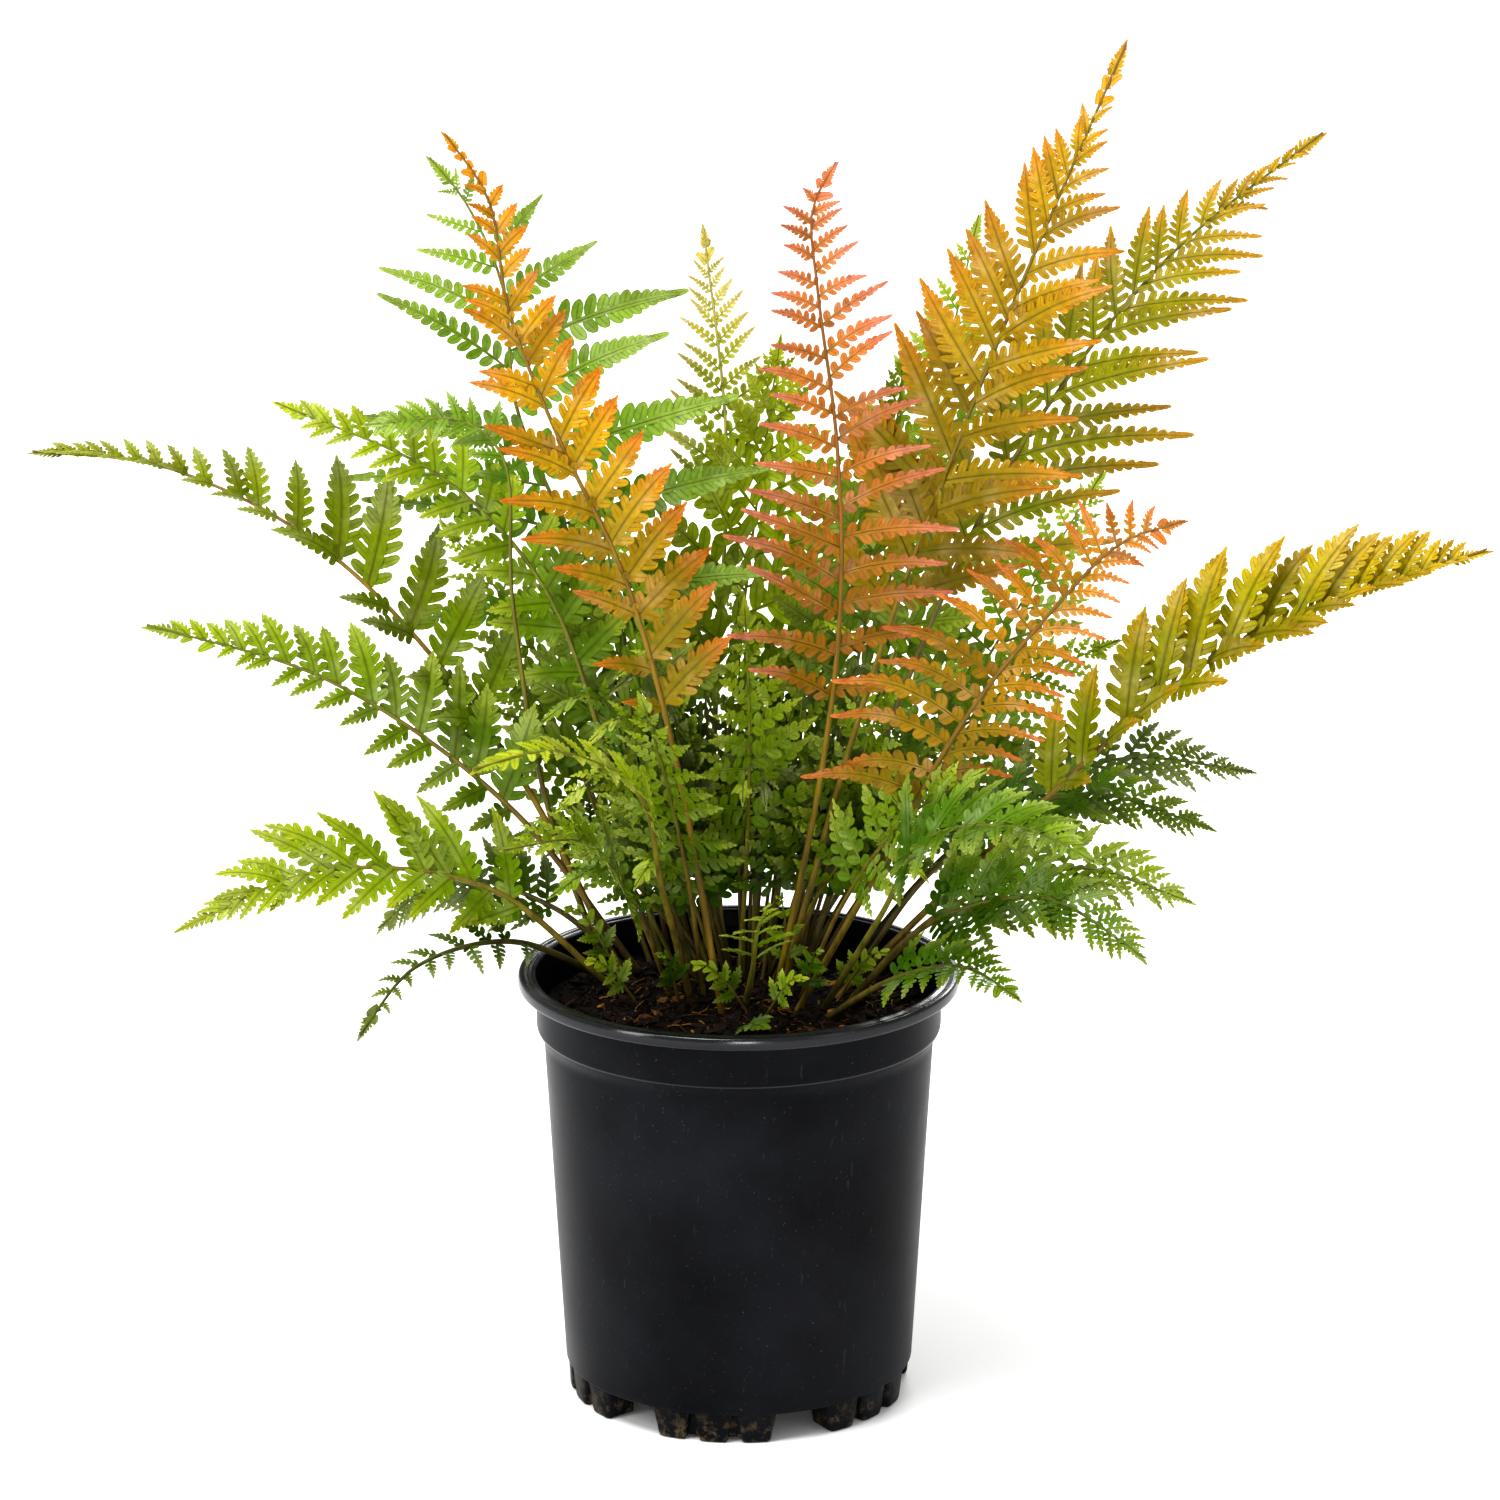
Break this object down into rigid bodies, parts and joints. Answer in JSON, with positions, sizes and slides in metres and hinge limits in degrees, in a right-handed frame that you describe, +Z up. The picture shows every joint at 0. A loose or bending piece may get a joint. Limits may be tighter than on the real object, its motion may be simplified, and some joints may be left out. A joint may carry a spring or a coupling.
{
  "type": "potted fern",
  "caption": "Fern with long arching twice-divided fronds in green, gold, orange and coral, growing in a plain black round nursery pot on ribbed feet.",
  "frame": {"origin": "on the ground, on the pot's axis, which is also the middle of the plant's spread", "axes": "+Z up, +X to the right and -Y to the front, as the plant is shown"},
  "size_m": [0.543, 0.3342, 0.5092],
  "materials": {
    "pot_plastic": "black moulded plastic with a soft satin sheen and faint scuffs",
    "potting_mix": "dark damp bark mix with lighter brown chips and fibres",
    "frond_green": "mid green leaf, satin",
    "frond_dark": "shaded dark green leaf, satin",
    "frond_bright": "bright yellow-green young leaf, satin",
    "frond_olive": "olive green leaf turning gold, satin",
    "frond_gold": "golden young leaf, satin",
    "frond_amber": "orange to gold young leaf, satin",
    "frond_coral": "coral red young leaf, satin",
    "frond_cream": "pale cream-yellow young leaf, satin"
  },
  "bodies": {
    "root": {"pot": "pot_plastic", "potting_mix": "potting_mix", "frond_coral_centre": "frond_coral", "frond_orange_tall": "frond_amber", "frond_gold_tall": "frond_gold", "frond_gold_right": "frond_gold", "frond_orange_right": "frond_coral", "frond_far_right": "frond_olive", "frond_left_arching": "frond_olive", "frond_left_mid": "frond_green", "frond_left_low": "frond_bright", "frond_left_upper": "frond_bright", "frond_left_tall": "frond_green", "frond_front_left": "frond_bright", "frond_front_right": "frond_green", "frond_left_drooping": "frond_dark", "frond_left_shaded": "frond_dark", "frond_cream_back": "frond_cream", "frond_right_shaded": "frond_dark", "frond_right_mid": "frond_green", "frond_right_low": "frond_green", "frond_right_lower": "frond_green", "frond_right_rim": "frond_green", "frond_back_centre": "frond_green", "frond_back_right": "frond_green", "frond_inner_right": "frond_green", "frond_back_left": "frond_green", "frond_back_far_right": "frond_green", "frond_inner_left": "frond_dark", "frond_right_inner": "frond_green", "frond_front_left_low": "frond_green", "frond_front_mid": "frond_bright", "frond_front_right_mid": "frond_green", "frond_left_inner": "frond_dark", "frond_centre": "frond_green", "frond_centre_right": "frond_green", "frond_crown_young": "frond_bright", "frond_back_low_left": "frond_green", "frond_back_low_middle": "frond_green", "frond_back_low_right": "frond_dark"}
  },
  "joints": []
}
